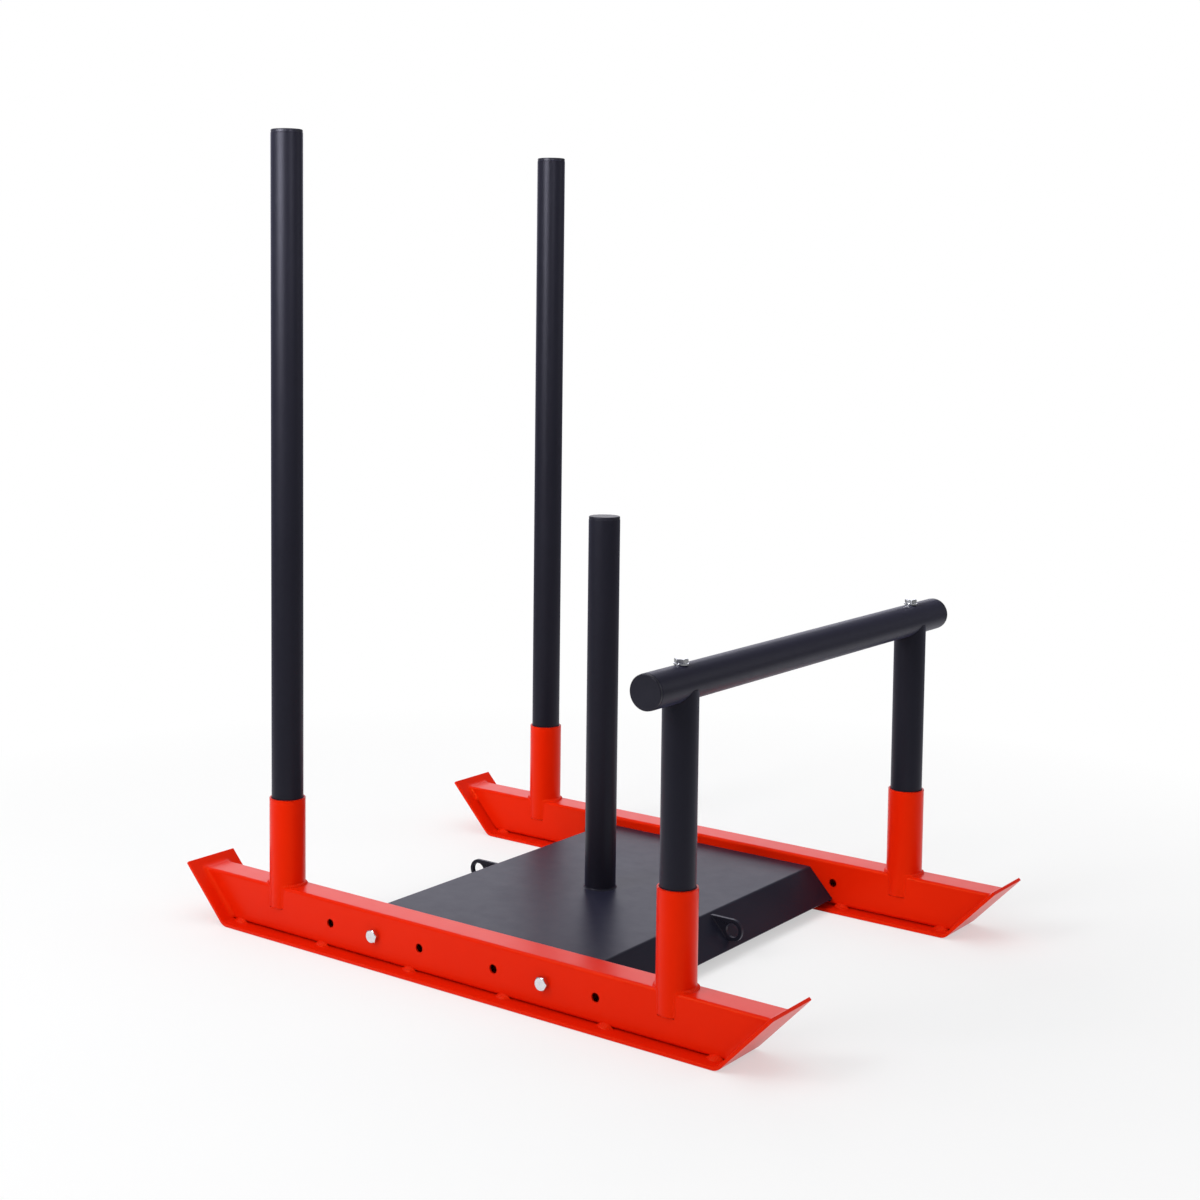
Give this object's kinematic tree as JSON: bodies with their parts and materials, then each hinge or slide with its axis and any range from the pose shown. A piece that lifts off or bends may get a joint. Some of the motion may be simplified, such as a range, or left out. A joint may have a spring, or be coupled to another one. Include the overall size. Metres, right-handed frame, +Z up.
{
  "type": "weight sled",
  "caption": "Push and pull weight sled with turned-up runners, a low deck with a plate post, lift-out push poles and a lift-out front handle.",
  "frame": {"origin": "on the floor under the middle of the weight post, midway between the runners", "axes": "+X along the runners towards the crossbar, +Y towards the left runner, +Z up"},
  "size_m": [1.0898, 0.847, 1.2575],
  "materials": {
    "red_paint": "satin red powder coat",
    "black_paint": "satin black powder coat",
    "zinc_plated_steel": "bright zinc plate",
    "black_plastic": "fine matt",
    "bare_steel": "machined"
  },
  "bodies": {
    "base": {"right_ski": "red_paint", "left_ski": "red_paint", "right_beam": "red_paint", "left_beam": "red_paint", "right_stitch_welds": "red_paint", "left_stitch_welds": "red_paint", "right_end_welds": "red_paint", "left_end_welds": "red_paint", "right_rear_socket": "red_paint", "right_front_socket": "red_paint", "left_rear_socket": "red_paint", "left_front_socket": "red_paint", "socket_welds": "red_paint", "deck": "black_paint", "right_deck_side": "black_paint", "left_deck_side": "black_paint", "front_tow_eye": "black_paint", "rear_tow_eye": "black_paint", "weight_post": "black_paint", "post_cap": "black_plastic", "deck_bolts": "zinc_plated_steel", "deck_washers": "zinc_plated_steel", "deck_nuts": "zinc_plated_steel"},
    "right_push_pole": {"right_push_pole": "black_paint", "right_pole_top_cap": "black_plastic", "right_pole_foot_cap": "black_plastic"},
    "left_push_pole": {"left_push_pole": "black_paint", "left_pole_top_cap": "black_plastic", "left_pole_foot_cap": "black_plastic"},
    "front_handle": {"crossbar": "black_paint", "right_bar_cap": "black_plastic", "left_bar_cap": "black_plastic", "right_upright": "black_paint", "left_upright": "black_paint", "right_upright_foot_cap": "black_plastic", "left_upright_foot_cap": "black_plastic", "right_upright_plug": "bare_steel", "left_upright_plug": "bare_steel", "handle_bolts": "zinc_plated_steel", "handle_washers": "zinc_plated_steel"}
  },
  "joints": [
    {"name": "right_pole_lift", "type": "slide", "parent": "base", "child": "right_push_pole", "axis": [0, 0, 1], "range_m": [0, 0.18]},
    {"name": "left_pole_lift", "type": "slide", "parent": "base", "child": "left_push_pole", "axis": [0, 0, 1], "range_m": [0, 0.18]},
    {"name": "handle_lift", "type": "slide", "parent": "base", "child": "front_handle", "axis": [0, 0, 1], "range_m": [0, 0.18]}
  ]
}
